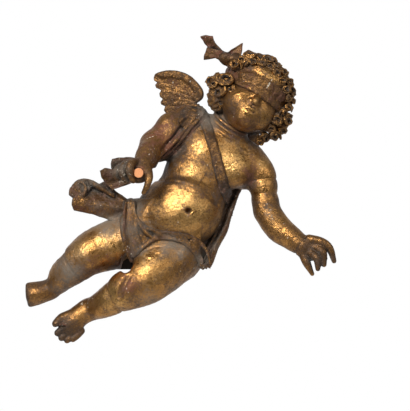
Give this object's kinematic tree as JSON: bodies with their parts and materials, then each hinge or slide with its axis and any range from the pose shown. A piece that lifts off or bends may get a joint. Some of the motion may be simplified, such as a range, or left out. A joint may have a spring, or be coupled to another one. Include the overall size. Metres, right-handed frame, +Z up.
{
  "type": "carved wooden angel statue",
  "caption": "Flying putto carved in wood and gilded, blindfolded, with wings, drapery and a wall bracket at its back.",
  "frame": {"origin": "middle of the bracket's back face, where it meets the wall", "axes": "+Y into the wall, +Z up, +X to the viewer's right"},
  "size_m": [0.5474, 0.2148, 0.5389],
  "materials": {
    "gilt_skin": "worn water gilding, bright on the raised forms and brown in the hollows",
    "dark_gilt": "darkened gilding over red clay and gesso",
    "fresh_wood": "bare, sawn",
    "black_block": "matt black paint"
  },
  "bodies": {
    "root": {"putto": "gilt_skin", "right_wing": "dark_gilt", "left_wing": "dark_gilt", "blindfold_bow": "dark_gilt", "hand_dowel": "fresh_wood", "wall_bracket": "black_block"}
  },
  "joints": []
}
